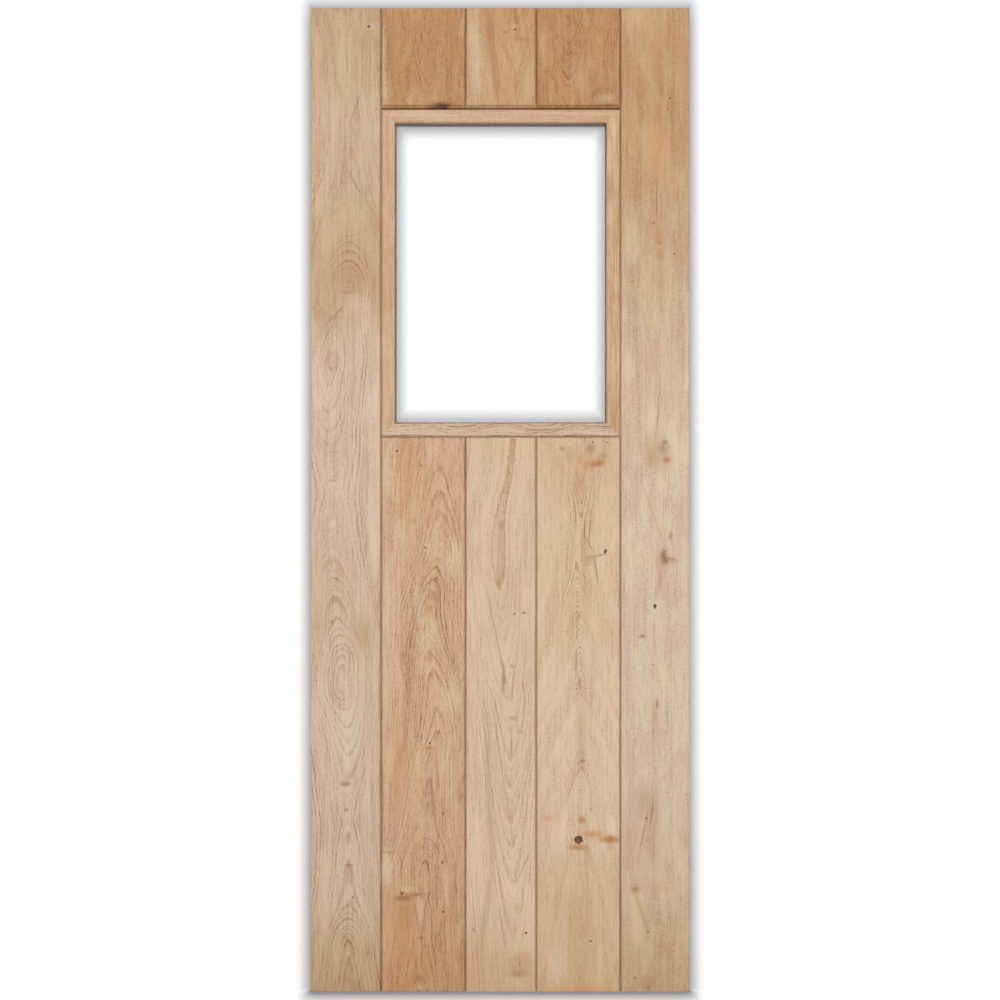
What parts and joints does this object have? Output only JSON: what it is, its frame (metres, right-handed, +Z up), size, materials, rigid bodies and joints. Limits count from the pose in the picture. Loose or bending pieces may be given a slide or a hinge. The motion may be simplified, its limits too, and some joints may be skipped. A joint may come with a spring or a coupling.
{
  "type": "ledged cottage door leaf",
  "caption": "Ledged door leaf of V-jointed oak boards with a mitred, glazed window in its upper half and ledges across the back.",
  "frame": {"origin": "middle of the leaf's bottom edge, halfway through its thickness", "axes": "+Z up, +Y from the boards' face to the ledged back, +X to the right as seen from the face"},
  "size_m": [0.762, 0.04, 1.981],
  "materials": {
    "board_oak": "planed, knotty, pale oak",
    "frame_oak": "planed pale oak",
    "bead_oak": "planed pale oak",
    "ledge_oak": "planed pale oak",
    "pellet_oak": "pared flush",
    "screw_steel": "bright",
    "pin_steel": "bright",
    "clear_glass": "clear",
    "dark_tape": "matt",
    "block_plastic": "matt"
  },
  "bodies": {
    "root": {"left_outer_board": "board_oak", "right_outer_board": "board_oak", "upper_left_board": "board_oak", "upper_middle_board": "board_oak", "upper_right_board": "board_oak", "lower_left_board": "board_oak", "lower_middle_board": "board_oak", "lower_right_board": "board_oak", "window_left_jamb": "frame_oak", "window_right_jamb": "frame_oak", "window_top_rail": "frame_oak", "window_bottom_rail": "frame_oak", "left_glazing_bead": "bead_oak", "right_glazing_bead": "bead_oak", "top_glazing_bead": "bead_oak", "bottom_glazing_bead": "bead_oak", "bottom_ledge": "ledge_oak", "middle_ledge": "ledge_oak", "top_ledge": "ledge_oak", "bottom_ledge_pellets": "pellet_oak", "middle_ledge_pellets": "pellet_oak", "top_ledge_pellets": "pellet_oak", "window_frame_pellets": "pellet_oak", "bottom_ledge_screws": "screw_steel", "middle_ledge_screws": "screw_steel", "top_ledge_screws": "screw_steel", "window_frame_screws": "screw_steel", "bead_pins": "pin_steel", "glass_pane": "clear_glass", "glazing_tape": "dark_tape", "setting_blocks": "block_plastic"}
  },
  "joints": []
}
